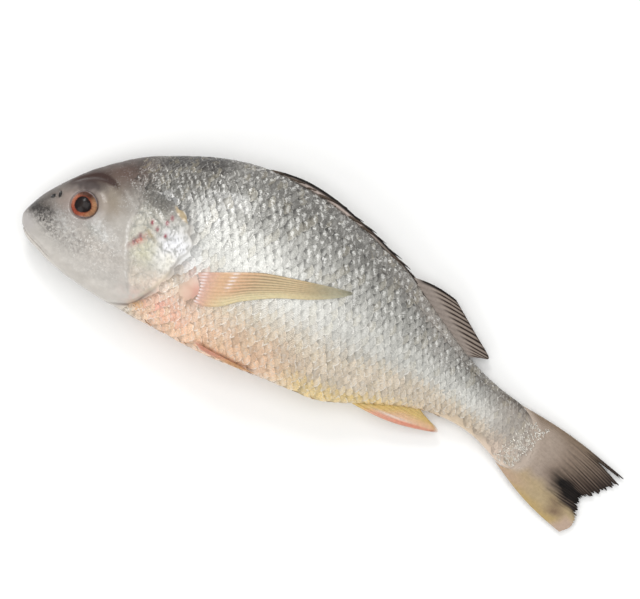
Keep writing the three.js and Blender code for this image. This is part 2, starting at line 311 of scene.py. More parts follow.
def patches(x, y):
    """The broad soft patches of colour, with painted light and painted shade where noted."""
    level = level_of(x, y)
    low = ease(0.3, 0.08, level)
    lower_flank = ease(0.05, 0.12, level) * ease(0.34, 0.22, level)
    head = ease(3, -3, past_line(SCALES_FROM, x, y))
    cover = cover_share(x, y)
    # Where the stalk thins to its end; it and the belly's lower edge are paled below as painted light.
    thin_end = ease(1.3, 0.4, half_thickness(x, y)) * ease(262, 268, x)
    tint = painted(
        flat_tint("#c9c8c1", len(x)),
        ("#a3a29c", ease(0.48, 0.76, level)),
        ("#807e79", ease(0.74, 0.9, level)),
        ("#5b5650", ease(0.94, 1.0, level)),
        ("#cfc0aa", ease(0.45, 0.2, level)),
        ("#d9b596", low * ease(60, 85, x) * ease(175, 130, x)),
        ("#d6bb80", ease(0.16, 0.05, level) * ease(140, 165, x) * ease(225, 195, x)),
        ("#c8b59c", low * ease(205, 240, x)),
        # Paler silver at the flank's crown: partly its own tone, partly a painted highlight where the
        # overhead light falls most.
        ("#e0e0da", 0.8 * hill(x, y, (110, 30), (34, 11), -0.1)),
        ("#7b7974", 0.6 * hill(x, y, (66, 53), (20, 12), 0.35)),
        # Painted light: the back is paled beside the back fin's root, against the fin's shadow.
        ("#a39c94", ease(0.8, 0.9, level) * hill(x, 0, (208, 0), (26, 1))),
        ("#2c2623", ease(0.85, 0.94, level) * ease(88, 74, x) * ease(34, 42, x)),
        ("#6a6761", hill(x, y, (68, 56), (14, 6), 0.3)),
        ("#a89d92", ease(235, 270, x) * 0.8),
        ("#a29386", ease(268, 280, x) * 0.9),
        ("#5a524b", ease(0.82, 0.97, level) * ease(240, 262, x) * 0.9),
        ("#cfbbaa", hill(x, y, (264, 1), (9, 6)) * 0.8),
        ("#e2d3be", lower_flank * hill(x, 0, (192, 0), (32, 1)) * 0.8),
        ("#b5b0a9", hill(x, y, (212, 34), (13, 5), -0.4) * 0.6),
        ("#77726b", hill(x, y, (236, 31.5), (9, 3.5), -0.4) * 0.7),
        ("#afaaa3", head),
        ("#b4ada5", head * hill(x, y, (44, 6), (20, 9))),
        ("#938e88", head * ease(0.3, 0.5, level) * ease(34, 14, x) * 0.85),
        ("#857d74", head * ease(0.5, 0.68, level)),
        ("#70675f", head * ease(0.68, 0.82, level)),
        ("#453b36", head * ease(0.84, 0.95, level) * ease(8, 18, x)),
        ("#bdb9ad", cover * ease(2, 10, y)),
        ("#c3bf9f", 0.7 * hill(x, y, (63, 15), (6, 7))),
        # The gill cover's own silver, made brightest in its middle by a painted highlight.
        ("#e9e9ec", 1.3 * cover * hill(x, y, (75, 21), (8, 10), 0.4)),
        ("#e6e2d6", cover * hill(x, y, (76, 14), (5, 5))),
        ("#dedfde", hill(x, y, (84, 18), (4, 6))),
        ("#e2e2de", 0.9 * hill(x, y, (83, 41.5), (11, 6), -0.1)),
        ("#85847e", hill(x, y, (88, 56), (14, 5.5), 0.2)),
        ("#94938d", hill(x, y, (101, 54.5), (9, 5)) * 0.7),
        ("#d3c6b4", cover * ease(12, -4, y) * 0.8),
        # Painted light: paled just behind the gill edge, against the gill step's shadow.
        ("#e6d2bf", hill(x, y, (77, 2), (5, 4))),
        ("#91867a", hill(x, y, (37, 27), (8, 6)) * 0.8),
        ("#99897f", hill(x, y, (16, 20), (5, 6)) * 0.7),
        ("#8a8580", hill(x, y, (18, 13), (5, 4)) * 0.5),
        ("#6f6865", hill(x, y, (10, 13.5), (6, 5)) * 0.5),
        ("#524d4a", ease(0.66, 0.84, level) * ease(15, 9, x) * 0.6),
        ("#35312f", hill(x, y, (3.5, 10), (7, 3.2), 0.15)),
        # Painted shadow of the socket's top, above the eye.
        ("#211916", hill(x, y, (22.5, 31.5), (9, 3.6), 0.25) * 1.3),
        ("#64564d", hill(x, y, (36, 36.5), (5.5, 3)) * 0.7),
        ("#918b83", hill(x, y, (37, 19), (4, 5)) * 0.7),
        ("#b5b1ab", hill(x, y, (47, 33), (5, 5)) * 0.5),
        ("#85877f", hill(x, y, (33, 13.5), (6.5, 2.6), -0.4) * 0.7),
        ("#5f4b43", hill(x, y, (38, 45), (13, 6), 0.42)),
        ("#67655f", hill(x, y, (60, 42), (13, 8), -0.1)),
        ("#8f8473", hill(x, y, (36.5, 29), (5, 7), 0.3) * 0.7),
        ("#c9c8c5", hill(x, y, (38, 14), (13, 3.6), -0.45) * (0.55 + 0.45 * ripple(x, y, 6))),
        ("#c6c5c1", hill(x, y, (21, 8), (8, 4), -0.5) * (0.4 + 0.4 * ripple(x, y, 5))),
        ("#6f6a66", hill(x, y, (24, 4), (10, 5), -0.3) * np.clip(ripple(y, x, 7), 0, 1) * 0.6),
        ("#b2adaa", hill(x, y, (1, 2), (7, 5))),
        ("#9c8c88", hill(x, y, (EYE["x"], EYE["y"]), (9, 9)) * 0.6),
        ("#d98f80", hill(x, y, (82, -8), (14, 7)) * (0.35 + 0.35 * ripple(x, y, 7))),
        ("#d3ad98", hill(x, y, LOBE, (7, 8)) * 0.8),
        ("#cf9a8a", hill(x, y, (95, 8), (3.5, 8)) * 0.8),
        # Painted shade at the base of the breast fin's root.
        ("#bd978a", hill(x, y, (88.5, 14.5), (5, 2.2), 0.3) * 0.6),
        ("#e2e2df", hill(x, y, (86.5, 24), (4, 5))),
    )
    # Painted light: the belly's lower edge and the stalk's thin end are brightened against the shade where
    # they turn from the lamps.
    return tint * (1 + 0.3 * ease(0.16, 0.02, level) + 0.25 * thin_end)[:, None]


def head_marks(x, y, tint):
    """Adds the marks with clear edges: nostrils, brow, creases, gill openings and blood spots; the dark of
    the nostrils, the open gill slit and the creases is painted shade.
    """
    fold = np.exp(-(((y - along(BROW_FOLD, x)) / lerp(2.7, 1.5, ease(24, 36, x))) ** 2))
    slit = past_line(GILL_EDGE, x, y)
    open_slit = hill(slit, 0, (0.9, 0), (0.6, 1)) * ease(2, -8, y) * ease(-19, -14, y)
    slit_rim = hill(slit, 0, (-0.6, 0), (0.9, 1)) * ease(14, 6, y) * ease(-12, -4, y)
    sore = hill(x, y, (57.5, 17.5), (1.8, 4.6), -0.6) * (0.7 + 0.5 * ripple(x, y, 2.6))
    ridge = hill(past_line(CHEEK_EDGE, x, y) + 0.5 * ripple(y, x, 9), 0, (-0.4, 0), (0.45, 1))
    broken = np.clip(0.4 + 1.1 * ripple(x, y, 5), 0, 1)
    return painted(
        tint,
        ("#3b2721", fold * ease(11, 17, x) * ease(39, 32, x) * 1.6),
        # Painted shade in the nostril pits.
        *(("#0b0808", hill(x, y, *nostril) * 3.5 - 0.9) for nostril in NOSTRILS),
        ("#ad9a78", hill(x, y, *GILL_SLIT) * 3 - 0.9),
        ("#c98f50", hill(x, y, (70, -12.5), (3.5, 2)) * 0.8),
        ("#b9685a", sore),
        ("#95835f", hill(x, y, (61.4, 22.4), (4.5, 1), -0.5) * 0.8),
        *(("#8c2438", hill(x, y, spot, (0.8, 1.2), 0.4) * 1.2) for spot in BLOOD_SPECKS),
        # Painted shade in the cover's creases.
        ("#85857f", cover_share(x, y) * creases(x, y) * lerp(0.3, 0.7, ease(10, 20, y))),
        # Painted shade in the open gill slit.
        ("#5d4b3f", open_slit * 0.8),
        ("#d8cbb4", slit_rim * 0.6),
        ("#e9e7e3", ridge * broken * ease(28, 18, y) * ease(-6, 0, y) * 0.65),
    )


def silver_share(x, y):
    """How strongly silver flecks show: none on the lips, most on cheek, nape and gill cover."""
    cheek = hill(x, y, (32, 9), (20, 9)) + 0.4 * hill(x, y, (44, -2), (16, 10))
    nape = 0.8 * hill(x, y, (52, 40), (14, 12))
    eye = 1 - hill(x, y, (EYE["x"], EYE["y"]), (10.5, 10.5))
    return np.clip(0.9 * (cheek + nape) + 0.35 * cover_share(x, y), 0, 1) * eye


def soot_share(x, y):
    """How thickly black grains lie: along the snout's ridge, in front of the cheek, on the nape."""
    snout = 1.6 * hill(x, y, (4.5, 9.6), (8, 3.4), 0.1) + 0.9 * hill(x, y, (11, 6.5), (5, 3.6))
    cheek = 0.7 * hill(x, y, (18, 3), (6, 4)) + 0.4 * hill(x, y, (30, 2), (7, 5))
    nape = 0.7 * hill(x, y, (58, 41), (13, 8)) + 0.5 * hill(x, y, (40, 52), (18, 5), 0.5)
    return np.clip(snout + cheek + nape, 0, 1)


# ------------------------------------------------------------------------------- mesh making
def lofted(bm, shape, around, lengthwise, cell=(0, 0, 1, 1)):
    """Adds a grid to bm and moves its points, which run from 0 to 1 both ways, to shape(u, v).
    Its UVs fill the cell (left, bottom, width, height). Returns its vertices and their u and v."""
    uv_layer = bm.loops.layers.uv.verify()
    made = bmesh.ops.create_grid(bm, x_segments=around, y_segments=lengthwise, size=0.5, calc_uvs=False)
    verts = made["verts"]
    u, v = (np.array([vert.co[axis] for vert in verts]) + 0.5 for axis in (0, 1))
    for face in {face for vert in verts for face in vert.link_faces}:
        for loop in face.loops:
            loop[uv_layer].uv = (
                cell[0] + cell[2] * (loop.vert.co.x + 0.5),
                cell[1] + cell[3] * (loop.vert.co.y + 0.5),
            )
    for vert, point in zip(verts, in_frame(shape(u, v))):
        vert.co = point
    return verts, u, v


def mesh_of(name, bm):
    """Mesh made from bm, which is used up."""
    mesh = bpy.data.meshes.new(name)
    bm.to_mesh(mesh)
    bm.free()
    return mesh


def in_scene(name, data):
    """Object made from a mesh, lamp or camera and put in the scene."""
    made = bpy.data.objects.new(name, data)
    bpy.context.scene.collection.objects.link(made)
    return made


def shown(name, mesh, replaced=None, crease=60):
    """Puts a mesh in the scene as a piece that rides on the fish's one body. It may replace a solid."""
    mesh.uv_layers[0].name = UV_MAP
    mesh.shade_smooth()
    mesh.set_sharp_from_angle(angle=math.radians(crease))
    piece = in_scene(name, mesh)
    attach(piece, "root")
    if replaced:
        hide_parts(replaced)
    return piece


def finished(name, bm, replaced):
    """Piece made from bm: doubles merged, faces outwards, shaded smooth with its sharp rims kept."""
    bmesh.ops.remove_doubles(bm, verts=bm.verts[:], dist=MERGE_DISTANCE)
    bmesh.ops.dissolve_degenerate(bm, edges=bm.edges[:], dist=MERGE_DISTANCE)
    bmesh.ops.recalc_face_normals(bm, faces=bm.faces[:])
    return shown(name, mesh_of(name, bm), replaced)


def points_of(mesh):
    """The mesh's points as body coordinates."""
    flat = np.empty(len(mesh.vertices) * 3)
    mesh.vertices.foreach_get("co", flat)
    return flat.reshape(-1, 3) / MM - SHIFT


def add_attribute(mesh, name, values):
    """Stores a number, or a colour, for each point of the mesh."""
    values = np.asarray(values, float)
    if values.ndim == 1:
        mesh.attributes.new(name, "FLOAT", "POINT").data.foreach_set("value", values)
        return
    colours = np.hstack([values, np.ones((len(values), 1))])
    mesh.attributes.new(name, "FLOAT_COLOR", "POINT").data.foreach_set("color", colours.ravel())


# ---------------------------------------------------------------------------------- body skin
SKIN_AROUND = 328
SKIN_RINGS = 296
# Rings lie close together on the head and the stalk's end, and far apart under the scales.
RING_PLACES = [
    (0, SNOUT_X), (0.015, SNOUT_X + 0.25), (0.06, 3), (0.3, 18), (0.78, 98), (0.92, 262),
    (1, STALK_END_X),
]
SKIN_FLOOR = 0.32  # the pressed flank's skin, above the scales that touch the surface


def body_skin():
    def shape(u, v):
        x = straight(RING_PLACES, v)
        turn = 2 * math.pi * u
        smooth = body_point(x, turn)
        rise = relief(x, smooth[:, 1]) * ease(0, 2, x - SNOUT_X) * ease(0, 1.5, STALK_END_X - x)
        points = smooth + body_normal(x, turn) * rise[:, None]
        points[:, 2] = np.maximum(points[:, 2], SKIN_FLOOR)
        return points

    bm = bmesh.new()
    lofted(bm, shape, around=SKIN_AROUND, lengthwise=SKIN_RINGS)
    piece = finished("body_skin", bm, "body")
    x, y, _ = points_of(piece.data).T
    add_attribute(piece.data, "Tint", skin_tint(x, y))
    add_attribute(piece.data, "Silver", silver_share(x, y))
    add_attribute(piece.data, "Soot", soot_share(x, y))
    return piece


# ------------------------------------------------------------------------------------- scales
SCALE_PITCH = 5.2  # along the body, at size 1
SCALE_ROW = 4.5  # between neighbouring rows, at size 1
SCALE_SIZE = [
    (40, 0.42), (62, 0.48), (78, 0.62), (95, 0.82), (120, 0.9), (170, 0.82), (210, 0.68), (250, 0.56),
    (281, 0.42),
]
SCALE_REACH = (0.8, 1.12)  # half length in pitches and half width in rows
SCALE_SEGMENTS = 12
SCALE_INSET = 0.42  # width of the leaf's outer ring, as a share of its radius
SCALE_TOP_CELL = ((0.45, 0.5), 0.42)  # middle and radius of its top in the UV sheet
SCALE_UNDER_CELL = ((0.94, 0.06), 0.04)
SCALE_ROWS = 40  # on each side of the lateral axis, before those past the outline are left out
SCALE_RISE = (-0.25, 0.42)  # sunk front end and lifted free edge, in millimetres at size 1
SCALE_DOME = 0.2
SCALE_THICKNESS = 0.14
SCALE_TILT = 0.1  # how far, in millimetres, a scale's rim leans out of line at random
SCALE_WOBBLE = 0.05  # how far it strays, as a share of its pitch and row
RIDGE_FLATTENING = 0.3  # how flat the scales lie along the back and the belly, where 1 is no flatter
SCALE_CREASE = 35  # degrees past which a leaf's rim is shaded sharp
TABLE_CLEARANCE = 0.02  # lowest point of the scales over the surface that the fish lies on
LAST_SCALE_X = 277
FLAKE_COUNT = 220  # loose scales over the root of the tail fin
FLAKE_HEIGHTS = (-4, 21)
FLAKE_LENGTHS = (0.4, 1.1)  # half their length
FLAKE_WIDTHS = (0.15, 0.27)  # half their width
FLAKE_CONTRAST = 0.05


def scale_leaf():
    """One scale of radius 1: a low fan of faces with a rim and a closed underside."""
    bm = bmesh.new()
    uv_layer = bm.loops.layers.uv.new(UV_MAP)
    bmesh.ops.create_circle(bm, cap_ends=True, segments=SCALE_SEGMENTS, radius=1)
    middle = bm.faces[:]
    bmesh.ops.inset_region(bm, faces=middle, thickness=SCALE_INSET)
    bmesh.ops.poke(bm, faces=middle)
    top = bm.faces[:]
    under = bmesh.ops.extrude_face_region(bm, geom=top, use_keep_orig=True)["geom"]
    bmesh.ops.translate(bm, verts=[g for g in under if isinstance(g, bmesh.types.BMVert)], vec=(0, 0, -1))
    under_faces = [g for g in under if isinstance(g, bmesh.types.BMFace)]
    bmesh.ops.dissolve_faces(bm, faces=under_faces)
    bmesh.ops.recalc_face_normals(bm, faces=bm.faces[:])
    for face in bm.faces:
        on_top = all(vert.co.z > -0.5 for vert in face.verts)
        middle, size = SCALE_TOP_CELL if on_top else SCALE_UNDER_CELL
        for loop in face.loops:
            loop[uv_layer].uv = (middle[0] + size * loop.vert.co.x, middle[1] + size * loop.vert.co.y)
    return mesh_of("scale_leaf", bm)


def copies(mesh, count):
    """One mesh of count copies, lying block after block on the same spot."""
    carrier = in_scene("carrier", mesh)
    row = carrier.modifiers.new("row", "ARRAY")
    row.count = count
    row.use_relative_offset = False
    seen = carrier.evaluated_get(bpy.context.evaluated_depsgraph_get())
    result = bpy.data.meshes.new_from_object(seen)
    bpy.data.objects.remove(carrier)
    return result


class Flank:
    """One side of the body unrolled: a place is its distance x and its arc from the lateral axis."""

    STATION_STEP = 2.0
    LONGEST_ARC = 90
    PAST_RIDGE = 0.7  # turn past the back and the belly up to which places are known
    TURN_STEPS = 260

    def __init__(self, side):
        self.side = side
        self.stations = np.arange(SNOUT_X + 1, STALK_END_X, self.STATION_STEP)
        self.arcs = np.arange(-self.LONGEST_ARC, self.LONGEST_ARC + 1, 1.0)
        turns = np.linspace(-self.PAST_RIDGE, math.pi + self.PAST_RIDGE, self.TURN_STEPS)
        points = body_point(self.stations[:, None], turns[None, :])
        steps = np.linalg.norm(np.diff(points, axis=1), axis=2)
        length = np.hstack([np.zeros((len(points), 1)), np.cumsum(steps, axis=1)])
        middle = [np.interp(math.pi / 2, turns, row) for row in length]
        self.turns = np.array([np.interp(self.arcs, row - m, turns) for row, m in zip(length, middle)])

    def turn(self, x, arc):
        """Turn around the body of a place, with arcs counted towards the belly."""
        i = np.clip((x - self.stations[0]) / self.STATION_STEP, 0, len(self.stations) - 1.001)
        j = np.clip(arc - self.arcs[0], 0, len(self.arcs) - 1.001)
        i0, j0 = i.astype(int), j.astype(int)
        fi, fj = i - i0, j - j0
        near = lerp(self.turns[i0, j0], self.turns[i0, j0 + 1], fj)
        far = lerp(self.turns[i0 + 1, j0], self.turns[i0 + 1, j0 + 1], fj)
        return self.side * lerp(near, far, fi)


def scale_places(flank):
    """Distance, arc and size of each scale: staggered rows that run out at the back and the belly."""
    places = []
    x = SCALE_SIZE[0][0]
    course = 0
    while x < LAST_SCALE_X:
        size = float(along(SCALE_SIZE, x))
        for row in range(-SCALE_ROWS, SCALE_ROWS + 1):
            if (row + course) % 2 == 0:
                places.append((x, row * SCALE_ROW * size, size))
        x += SCALE_PITCH / 2 * size
        course += 1
    x, arc, size = np.array(places).T
    turn = flank.turn(x, arc)
    y = body_point(x, turn)[:, 1]
    on_side = (np.abs(turn) > 0.04) & (np.abs(turn) < math.pi - 0.02)
    smooth_edge = level_of(x, y) < 0.16 * ease(215, 245, x) + rng.uniform(-0.04, 0.04, len(x))
    before = past_line(SCALES_FROM, x, y)
    strays = (y > 42) & (before < 0.5) & (ease(-9, 3, before) > rng.uniform(0.1, 0.9, len(x)))
    thin_end = (x > 262) & (half_thickness(x, y) < 1)
    kept = on_side & ((scaled_share(x, y) > 0.5) | strays) & ~smooth_edge & ~thin_end
    return x[kept], arc[kept], size[kept]


def blank_coat(count):
    """One mesh of count leaves on the same spot, and their points as (leaf, point, axis)."""
    mesh = copies(scale_leaf(), count)
    leaves = np.empty(len(mesh.vertices) * 3)
    mesh.vertices.foreach_get("co", leaves)
    return mesh, leaves.reshape(count, -1, 3)


def laid_coat(name, mesh, leaves, points, tint, chance, contrast):
    """Piece made from a blank coat moved to points, with a tint, chance and contrast for each leaf."""
    mesh.vertices.foreach_set("co", in_frame(points).ravel())
    add_attribute(mesh, "Run", leaves[..., 0].ravel())
    add_attribute(mesh, "Across", leaves[..., 1].ravel())
    for label, values in (("Tint", tint), ("Chance", chance), ("Contrast", contrast)):
        add_attribute(mesh, label, np.repeat(values, leaves.shape[1], axis=0))
    spread_cells(mesh, len(leaves))
    mesh.update()
    return shown(name, mesh, crease=SCALE_CREASE)


def scale_coat(name, side):
    """All the scales of one flank: overlapping leaves, each a little turned out of line."""
    flank = Flank(side)
    x, arc, size = scale_places(flank)
    count = len(x)
    mesh, leaf = blank_coat(count)
    run, side_step, is_top = leaf[..., 0], leaf[..., 1], leaf[..., 2] > -0.5
    chance = rng.random(count)
    tilt = rng.normal(0, SCALE_TILT, (count, 2))
    wobble = rng.normal(0, SCALE_WOBBLE, (count, 3))
    px = x[:, None] + (run * SCALE_REACH[0] + wobble[:, :1]) * SCALE_PITCH * size[:, None]
    parc = arc[:, None] + (side_step * SCALE_REACH[1] + wobble[:, 1:2]) * SCALE_ROW * size[:, None]
    height = lerp(*SCALE_RISE, (run + 1) / 2) + SCALE_DOME * (1 - run**2 - side_step**2)
    height = height + tilt[:, :1] * run + tilt[:, 1:] * side_step
    height = (height - SCALE_THICKNESS * ~is_top) * size[:, None]
    px, parc, height = (np.broadcast_to(a, run.shape).ravel() for a in (px, parc, height))
    turn = flank.turn(px, parc)
    from_ridge = np.minimum(np.abs(turn), math.pi - np.abs(turn))
    height = height * lerp(RIDGE_FLATTENING, 1, ease(0, 0.6, from_ridge))
    smooth = body_point(px, turn)
    beside_lobe = ease(0.6, 0.1, hill(px, smooth[:, 1], LOBE, (10, 11)))
    emerged = ease(0, 9, past_line(SCALES_FROM, px, smooth[:, 1])) * ease(280, 240, px) * beside_lobe
    height = height * lerp(0.3, 1, emerged)
    rise = height + relief(px, smooth[:, 1]) + SCALE_BED * scaled_share(px, smooth[:, 1])
    points = smooth + body_normal(px, turn) * rise[:, None]
    points[:, 2] = np.maximum(points[:, 2], TABLE_CLEARANCE)
    middle_y = body_point(x, flank.turn(x, arc))[:, 1]
    tint = skin_tint(x, middle_y) * (1 + 0.2 * (chance - 0.5))[:, None]
    tint = painted(tint, ("#c6b997", 0.16 * (rng.random(count) > 0.85)))
    return laid_coat(name, mesh, leaf, points, tint, chance, scale_contrast(x, middle_y))


def scale_contrast(x, y):
    """How strongly each scale's painted shade and painted highlights show: most on the back, little on
    belly, throat and stalk.
    """
    level = level_of(x, y)
    nape_edge = ease(0.84, 0.93, level) * ease(98, 86, x)
    stalk = lerp(1, 0.15, ease(222, 262, x))
    upper_flank = lerp(0.34, 1, ease(0.42, 0.72, level))
    return upper_flank * stalk * lerp(0.7, 1, ease(60, 90, x)) * (1 - 0.85 * nape_edge)


def tail_root_scales(name, side):
    """Small loose scales that thin out over the root of the tail fin."""
    count = FLAKE_COUNT
    mesh, leaf = blank_coat(count)
    y = lerp(*FLAKE_HEIGHTS, rng.random(count))
    x = 264 + 12 * rng.random(count) ** 0.8 + 0.35 * y
    y = np.maximum(y, along(BELLY, x) + 2.2)
    heading = rng.normal(-0.5, 0.7, count)
    length, width = rng.uniform(*FLAKE_LENGTHS, count), rng.uniform(*FLAKE_WIDTHS, count)
    across, up = leaf[..., 1] * width[:, None], leaf[..., 2]
    forward = leaf[..., 0] * length[:, None]
    px = x[:, None] + forward * np.cos(heading)[:, None] - across * np.sin(heading)[:, None]
    py = y[:, None] + forward * np.sin(heading)[:, None] + across * np.cos(heading)[:, None]
    over_stalk = half_thickness(np.minimum(px, STALK_END_X - 0.5), py) * (px < STALK_END_X - 1)
    pz = along(LIFT, px) + side * (np.maximum(over_stalk, 0.4) + 0.16 + 0.12 * up)
    points = np.stack([px, py, pz], -1).reshape(-1, 3)
    tint, chance = flat_tint("#efe9dd", count), rng.random(count)
    return laid_coat(name, mesh, leaf, points, tint, chance, np.full(count, FLAKE_CONTRAST))


def spread_cells(mesh, count):
    """Gives each copy's UVs their own cell of a square sheet."""
    cells = math.ceil(math.sqrt(count))
    uv = np.empty(len(mesh.loops) * 2)
    layer = mesh.uv_layers[0]
    layer.data.foreach_get("uv", uv)
    uv = uv.reshape(count, -1, 2)
    index = np.arange(count)
    corner = np.stack([index % cells, index // cells], -1)[:, None, :]
    layer.data.foreach_set("uv", ((uv + corner) / cells).ravel())


# ---------------------------------------------------------------------------------------- eyes
# From the pupil's middle outwards: share of the radius and colour; the pupil's paler middle is a painted
# faint reflection.
IRIS = [
    (0, "#2b2320"), (0.44, "#1c1514"), (0.52, "#120d0c"), (0.56, "#1a1010"), (0.61, "#83432e"),
    (0.7, "#a95f42"), (0.82, "#a2674d"), (0.89, "#9c7a70"), (0.95, "#8f8586"), (1, "#857c7b"),
]


def eye_tint(x, y):
    """Colours of the eyeball: an uneven pupil, an iris darkened above by painted shade of the lid and gold
    behind, a violet rim.
    """
    angle = np.arctan2(y, x)
    ring = np.hypot(x, y + 0.06 * (1 - np.hypot(x, y)))
    ring = ring * (1 - 0.04 * np.cos(3 * angle + 0.4) - 0.03 * np.cos(2 * angle)) + 0.015 * ripple(x, y, 0.5)
    places, codes = zip(*IRIS)
    channels = np.array([srgb(code) for code in codes]).T
    iris = ease(0.58, 0.66, ring) * ease(0.97, 0.88, ring)
    tint = painted(
        np.stack([np.interp(ring, places, channel) for channel in channels], -1),
        # Painted shade of the upper lid over the iris's top.
        ("#3d251d", iris * ease(0.25, 0.7, y) * 0.9),
        ("#a98462", iris * ease(0.2, 0.7, x) * 0.7),
        ("#93382c", iris * ease(-0.2, -0.6, y) * ease(0.3, -0.3, x) * 0.6),
    )
    return tint * (1 + 0.12 * iris * np.sin(31 * angle + 5 * np.sin(7 * angle)))[:, None]


def eyeball(side_name, side):
    """A flattened ball with a bulging cornea, leant forwards as it sits in the head."""
    lift = along(LIFT, EYE["x"])
    height = lift + side * (half_thickness(EYE["x"], EYE["y"]) - EYE["depth"] + EYE["proud"])
    bm = bmesh.new()
    bm.loops.layers.uv.new(UV_MAP)
    bmesh.ops.create_uvsphere(bm, u_segments=128, v_segments=64, radius=1, calc_uvs=True)
    for vert in bm.verts:
        out = math.hypot(vert.co.x, vert.co.y)
        cornea = 0.16 * math.exp(-((out / 0.62) ** 2))
        groove = 0.1 * math.exp(-(((out - 0.8) / 0.12) ** 2))
        vert.co.z *= 1 + (cornea - groove) * (vert.co.z * side > 0)
    across = EYE["radius"] - EYE["clearance"]
    bmesh.ops.scale(bm, verts=bm.verts[:], vec=(across, across, EYE["depth"]))
    turn = Matrix.Rotation(-side * EYE["lean"], 3, "Y")
    bmesh.ops.rotate(bm, verts=bm.verts[:], cent=(0, 0, 0), matrix=turn)
    flat = np.array([(turn.inverted() @ vert.co).xy / across for vert in bm.verts])
    for vert in bm.verts:
        vert.co = in_frame(np.array(vert.co) + (EYE["x"], EYE["y"], height))
    mesh = mesh_of("eyeball_" + side_name, bm)
    add_attribute(mesh, "Tint", eye_tint(*flat.T))
    return shown(mesh.name, mesh, "eye_" + side_name, crease=180)


# ---------------------------------------------------------------------------------------- fins
def new_blades():
    """An empty bmesh whose points will have tints."""
    bm = bmesh.new()
    bm.verts.layers.float_color.new("Tint")
    return bm


def paint(bm, verts, tint):
    """Gives points of new_blades() their tints."""
    layer = bm.verts.layers.float_color["Tint"]
    for vert, colour in zip(verts, tint):
        vert[layer] = (*colour, 1)


class Fin:
    """A thin closed blade of rays and membrane. a runs from its leading to its trailing edge
    and r from its root to its tips."""

    RIM = 12  # the blade's length over that of the rounded rims at its root and its tips
    SIDE_RIM = 8  # how soon the blade has its full thickness beside its two other edges

    def __init__(self, middle, tint, rays, membrane, ray_half, reach=None, ribbed=None, branched=1):
        self.middle = middle  # (a, r) to body coordinates
        self.tint = tint  # (a, r, ray) to colours
        self.rays = rays
        self.membrane = membrane  # half its thickness
        self.ray_half = ray_half  # what a ray adds to that at its root and at its tip
        self.reach = reach  # a to the share of its length that each ray reaches
        self.ribbed = ribbed  # a to the share of the rays' full relief, or full everywhere
        self.branched = branched

    def ray(self, a, r):
        """1 on a ray and 0 between two; the rays branch in two beyond their middle."""
        stem = 0.5 - 0.5 * np.cos(2 * math.pi * self.rays * a)
        branches = 0.5 - 0.5 * np.cos(4 * math.pi * self.rays * a)
        ray = lerp(stem, branches, ease(0.45, 0.75, r) * self.branched) ** 1.5
        return ray * (self.ribbed(a) if self.ribbed else 1)

    def add_to(self, bm, across, lengthwise, cell=(0, 0, 1, 1)):
        def spread(u, v):
            a = 1 - np.abs(2 * u - 1)
            return a, v * (self.reach(a) if self.reach else 1)

        def shape(u, v):
            a, r = spread(u, v)
            half = self.membrane + lerp(*self.ray_half, r) * self.ray(a, r)
            side_rims = np.clip(np.sin(math.pi * a) * self.SIDE_RIM, 0, 1)
            edge = side_rims * np.clip((1 - v) * self.RIM, 0, 1) * np.clip(v * self.RIM, 0, 1)
            points = self.middle(a, r)
            points[:, 2] += np.where(u < 0.5, 1, -1) * half * np.sqrt(edge)
            return points

        verts, u, v = lofted(bm, shape, 2 * across, lengthwise, cell)
        a, r = spread(u, v)
        paint(bm, verts, self.tint(a, r, self.ray(a, r)))


def on_flank(x, y, side, clearance):
    """Height at which a blade lies on a flank with that clearance."""
    return along(LIFT, x) + side * (half_thickness(x, y) + clearance)


def fringe(rays, depth):
    """Reach of a ragged tip line: each branch sticks out a little past the membrane."""
    return lambda a: 1 - depth * (0.5 + 0.5 * np.cos(4 * math.pi * rays * a)) ** 2


# Tail fin: fans out from the rounded end of the stalk to a shallow fork.
TAIL_EDGE = [
    (328, 14.6), (326, 11), (323, 7.1), (319.6, 3.2), (316, -0.4), (313, -2), (312.4, -5),
    (313.6, -9.4), (314.2, -13.8), (313.3, -18.7), (309.6, -22.8),
]
TAIL_RAYS = 17
TAIL_BOW = 2.2
TAIL_SLIT = {"place": 0.055, "from": 0.74, "gap": 1.3}


def tail_middle(a, r):
    turn = math.pi * lerp(0.05, 0.95, a)
    end_x = STALK_END_X - STALK_ROUNDING * (1 - np.sin(turn))
    axis, up, down, _, _ = section(end_x)
    root_x = end_x - 1.5 * np.sin(turn)
    root_y = axis + np.where(a < 0.5, up, -down)
    tip_x, tip_y = trace(TAIL_EDGE, a)
    x = lerp(root_x, tip_x, r)
    y = lerp(root_y, tip_y, r) + TAIL_BOW * np.sin(math.pi * r) * (1 - 2 * a)
    from_slit = TAIL_SLIT["place"] - a
    opening = ease(TAIL_SLIT["from"], 1, r) * TAIL_SLIT["gap"] * np.exp(-np.abs(from_slit) / 0.05)
    y = y + opening * np.sign(from_slit)
    wave = 0.35 * r * np.sin(2 * math.pi * 3 * a)
    return np.stack([x, y, along(LIFT, x) + wave], -1)


def tail_reach(a):
    """Reach of the worn tail: ragged and uneven above, smooth on the lower lobe, slit near the top."""
    ragged = straight([(0, 0.03), (0.5, 0.05), (0.78, 0.055), (0.86, 0.004), (1, 0.004)], a)
    uneven = 0.6 + 0.4 * np.sin(61 * a)
    reach = 1 - ragged * uneven * (0.5 + 0.5 * np.cos(4 * math.pi * TAIL_RAYS * a)) ** 2
    reach = reach - 0.016 * ease(0.82, 0.74, a) * (1 - np.cos(83 * a))
    in_slit = np.abs(a - TAIL_SLIT["place"]) < 0.003
    return np.where(in_slit, TAIL_SLIT["from"], reach)


